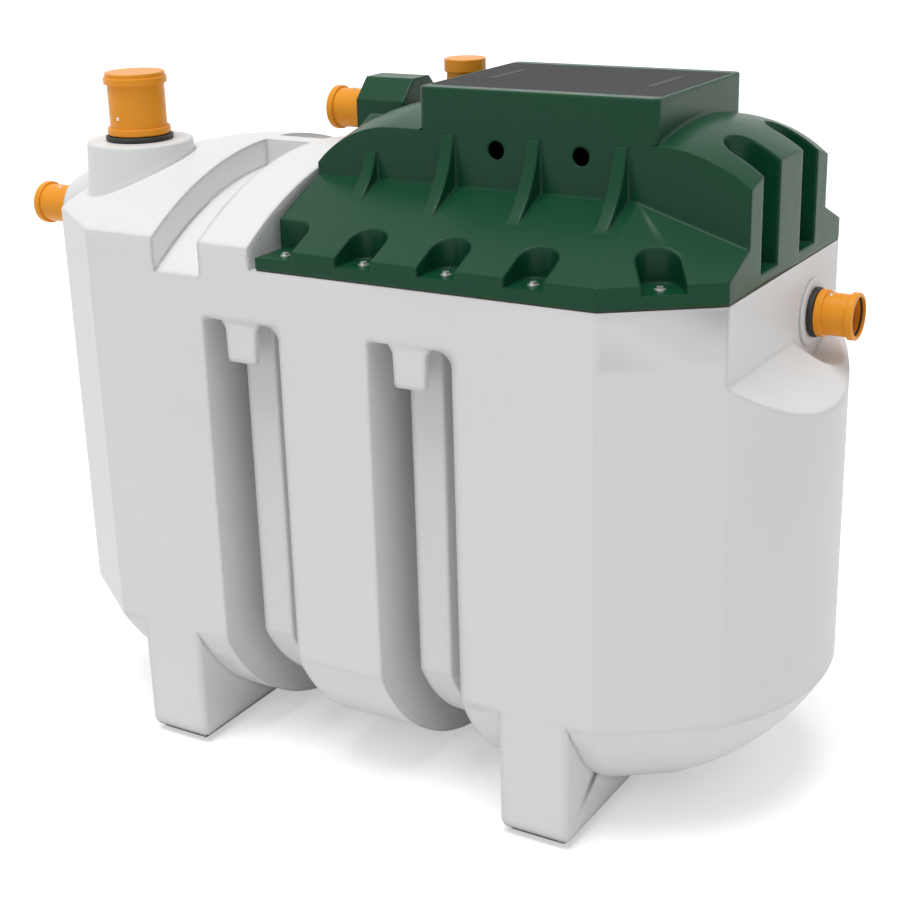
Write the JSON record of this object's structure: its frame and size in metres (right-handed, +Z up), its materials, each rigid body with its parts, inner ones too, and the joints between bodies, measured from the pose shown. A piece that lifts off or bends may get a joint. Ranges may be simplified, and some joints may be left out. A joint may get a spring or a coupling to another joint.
{
  "type": "packaged sewage treatment plant",
  "caption": "Packaged sewage treatment plant: grey moulded tank on foot rails, bolted green lid with a flat cover plate, and orange pipe sockets.",
  "frame": {"origin": "floor level below the middle of the plant's overall length and width", "axes": "+X along the plant from the inlet end to the outlet end, +Y to the back, away from the side that the picture shows, +Z up"},
  "size_m": [2.595, 1.2, 2.043],
  "materials": {
    "tank_grey": "satin moulded",
    "lid_green": "satin moulded",
    "pipe_orange": "smooth",
    "seal_black": "matte",
    "gasket_brown": "matte",
    "cover_grey": "dark coated chequer plate",
    "strip_grey": "smooth",
    "bolt_zinc": "zinc plated"
  },
  "bodies": {
    "root": {"cover_plate": "cover_grey", "cover_strips": "strip_grey", "foot_rails": "tank_grey", "inlet_coupler": "pipe_orange", "inlet_lip": "seal_black", "inlet_pipe": "pipe_orange", "inlet_seal": "seal_black", "lid_bolts": "bolt_zinc", "lid_crown": "lid_green", "lid_gasket": "gasket_brown", "lid_gussets": "lid_green", "lid_skirt_back": "lid_green", "lid_skirt_front": "lid_green", "lid_turret": "lid_green", "outlet_coupler": "pipe_orange", "outlet_lip": "seal_black", "outlet_pipe": "pipe_orange", "outlet_seal": "seal_black", "recess_corners": "tank_grey", "recess_linings": "tank_grey", "riser_coupler": "pipe_orange", "riser_pipe": "pipe_orange", "riser_plug": "pipe_orange", "riser_seal": "seal_black", "stack_cap": "pipe_orange", "stack_pipe": "pipe_orange", "strap_tabs": "tank_grey", "tank_belly": "tank_grey", "tank_bowls": "tank_grey", "tank_deck": "tank_grey", "tank_headers": "tank_grey", "tank_left_end": "tank_grey", "tank_middle_panels": "tank_grey", "tank_right_end": "tank_grey", "tank_roof": "tank_grey", "vent_coupler": "pipe_orange", "vent_cowl": "lid_green", "vent_lip": "seal_black", "vent_pipe": "pipe_orange"}
  },
  "joints": []
}
